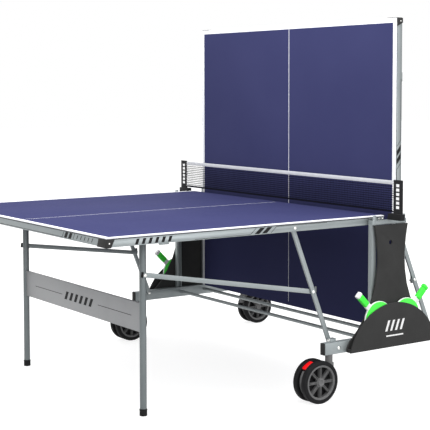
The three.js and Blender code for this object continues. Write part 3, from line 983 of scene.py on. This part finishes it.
tyre_master, wheel_master = build_wheel()
LAY_FLAT = Matrix.Rotation(math.pi / 2, 4, "X")
for side, _ in SIDES:
    for end, _ in ENDS:
        body = f"{side}_{end}_wheels"
        centre = middle_of(f"{side}_{end}_wheel_pair")
        tyres, rims = [], []
        for offset in (-WHEEL_OFFSET, WHEEL_OFFSET):
            place = Matrix.Translation(centre + Vector((0, offset, 0))) @ LAY_FLAT
            tyres.append(moved(copy_of(tyre_master, "tyre"), place))
            rims.append(moved(copy_of(wheel_master, "rim"), place))
        rims.append(rod("axle", centre + Vector((0, -0.030, 0)), centre + Vector((0, 0.030, 0)), 0.0078, 24))
        tyre_pair = merge(f"{side}_{end}_tyres", tyres)
        fit(tyre_pair, body, tyre_rubber)
        rim_pair = merge(f"{side}_{end}_rims", rims)
        fit(rim_pair, body, rim_grey)
        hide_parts(f"{side}_{end}_wheel_pair")
        housing = dressed(f"{side}_{end}_caster_housing", 0.0015, 2)
        fit(housing, f"{side}_{end}_caster", housing_grey)
        # black discs on both faces of the housing: painted shade seen through the wheel's windows
        shade_discs = []
        for offset in (-SHADE_DISC_OFFSET, SHADE_DISC_OFFSET):
            shade_disc = ring("shade_disc", 0.0705, 0.0100, 0.0009, 64, 0.0002)
            shade_discs.append(moved(shade_disc, Matrix.Translation(centre + Vector((0, offset, 0))) @ LAY_FLAT))
        shade_disc_pair = merge(f"{side}_{end}_caster_shade_discs", shade_discs)
        fit(shade_disc_pair, f"{side}_{end}_caster", deep_black)
    tab = dressed(f"{side}_brake_tab", 0.0015, 3)
    fit(tab, f"{side}_brake", red_tab)
for master in (tyre_master, wheel_master):
    bpy.data.objects.remove(master)


# ------------------------------------------------------------------ bats
BAT_RADIUS = 0.077
BAT_TILT = 45                                 # degrees from upright, outward


def build_bat():
    """A bat about its blade's centre, handle along Z: rubbers, blade with its edge, grip and end."""
    core = rod("core", (0, -0.0033, 0), (0, 0.0033, 0), BAT_RADIUS - 0.0015, 72, 0.0006)
    sheets = [rod("sheet", (0, s * 0.0032, 0), (0, s * 0.0064, 0), BAT_RADIUS - 0.0025, 72, 0.0006)
              for s in (-1, 1)]
    rubber = merge("rubber", sheets)
    neck = brick("neck", (-0.0145, -0.0048, 0.064), (0.0145, 0.0048, 0.096), 0.0015, 3)
    edge = ring("edge", BAT_RADIUS, BAT_RADIUS - 0.002, 0.0075, 72, 0.0006)
    edge = moved(edge, LAY_FLAT)
    white = merge("white", [core, neck, edge])
    grip = brick("grip", (-0.0142, -0.0100, 0.094), (0.0142, 0.0100, 0.152), 0.006, 4)
    end = brick("end", (-0.0149, -0.0104, 0.151), (0.0149, 0.0104, 0.168), 0.005, 4)
    return rubber, white, grip, end


bat_parts = build_bat()
BAT_PAINTS = (("rubbers", green_rubber()), ("blade", white_cap), ("grip", green_grip), ("end", white_cap))
for side, _ in SIDES:
    for end, x in ENDS:
        low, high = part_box(f"{side}_bat_{end}")
        inner_edge = high.x if end == "front" else low.x
        middle = Vector((inner_edge + x * BAT_RADIUS, (low.y + high.y) / 2, low.z + BAT_RADIUS))
        place = Matrix.Translation(middle) @ Matrix.Rotation(x * math.radians(BAT_TILT), 4, "Y")
        for part, (label, paint) in zip(bat_parts, BAT_PAINTS):
            piece = moved(copy_of(part, f"{side}_{end}_bat_{label}"), place)
            if end == "rear" and label == "end":
                paint = green_grip
            fit(piece, f"{side}_{end}_bat", paint)
            if label == "rubbers":
                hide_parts(f"{side}_bat_{end}")
for part in bat_parts:
    bpy.data.objects.remove(part)


# ------------------------------------------------------------------ studio
def studio_paper(name, shade_low, shade_high, glow):
    """Matt paper with a faint mottle and a little light of its own."""
    material, tree, shader = new_material(name)
    coords = tree.nodes.new("ShaderNodeTexCoord").outputs["Object"]
    mottle = blend_colour(tree, noise(tree, coords, 0.6), shade_low, shade_high)
    link(tree, mottle, shader.inputs["Base Color"])
    shader.inputs["Roughness"].default_value = 0.95
    shader.inputs["Specular IOR Level"].default_value = 0.0
    shader.inputs["Emission Color"].default_value = (1, 1, 1, 1)
    shader.inputs["Emission Strength"].default_value = glow
    return material


def sheet_of_paper(name, height, material):
    deselect()
    bpy.ops.mesh.primitive_plane_add(size=60.0, location=(0, 0, height))
    paper = named(name)
    settle(paper)
    paper.data.materials.append(material)
    return paper


def softbox(name, at, aim, size, power, mirrored=True):
    """A soft rectangular lamp. Shiny faces don't show it unless it is mirrored."""
    data = bpy.data.lights.new(name, "AREA")
    data.shape = "RECTANGLE"
    data.size, data.size_y = size
    data.energy = power
    lamp = bpy.data.objects.new(name, data)
    bpy.context.scene.collection.objects.link(lamp)
    lamp.location = at
    lamp.visible_glossy = mirrored
    lamp.rotation_euler = (Vector(aim) - Vector(at)).to_track_quat("-Z", "Y").to_euler()


FLOOR_GLOW = 0.80
UNDERLAY_GLOW = 0.06


def studio():
    """A pale floor the object gets no bounce from, a grey sheet below it, a white sky and lamps."""
    pale = studio_paper("pale studio floor", (0.40, 0.40, 0.40), (0.44, 0.44, 0.44), FLOOR_GLOW)
    floor = sheet_of_paper("studio_floor", 0.0, pale)
    floor.visible_diffuse = False
    grey = studio_paper("grey underlay", (0.10, 0.10, 0.10), (0.12, 0.12, 0.12), UNDERLAY_GLOW)
    sheet_of_paper("studio_underlay", -1.0, grey)
    world = bpy.data.worlds.new("studio")
    bpy.context.scene.world = world
    world.use_nodes = True
    background = world.node_tree.nodes["Background"]
    background.inputs["Color"].default_value = (1, 1, 1, 1)
    background.inputs["Strength"].default_value = 1.0
    softbox("overhead", (-1.2, -0.6, 4.2), (-0.6, 0, 0.7), (3.5, 3.0), 190)
    softbox("front_fill", (-4.5, -5.0, 1.6), (0.0, 0.0, 0.6), (3.0, 2.0), 50)
    softbox("side_fill", (0.8, -5.5, 2.0), (0.3, -0.7, 0.6), (3.5, 2.0), 95)
    softbox("back_fill", (1.5, 5.5, 2.2), (0.3, 0.7, 0.7), (3.5, 2.0), 45, mirrored=False)


studio()
bpy.context.scene.view_settings.view_transform = "Standard"
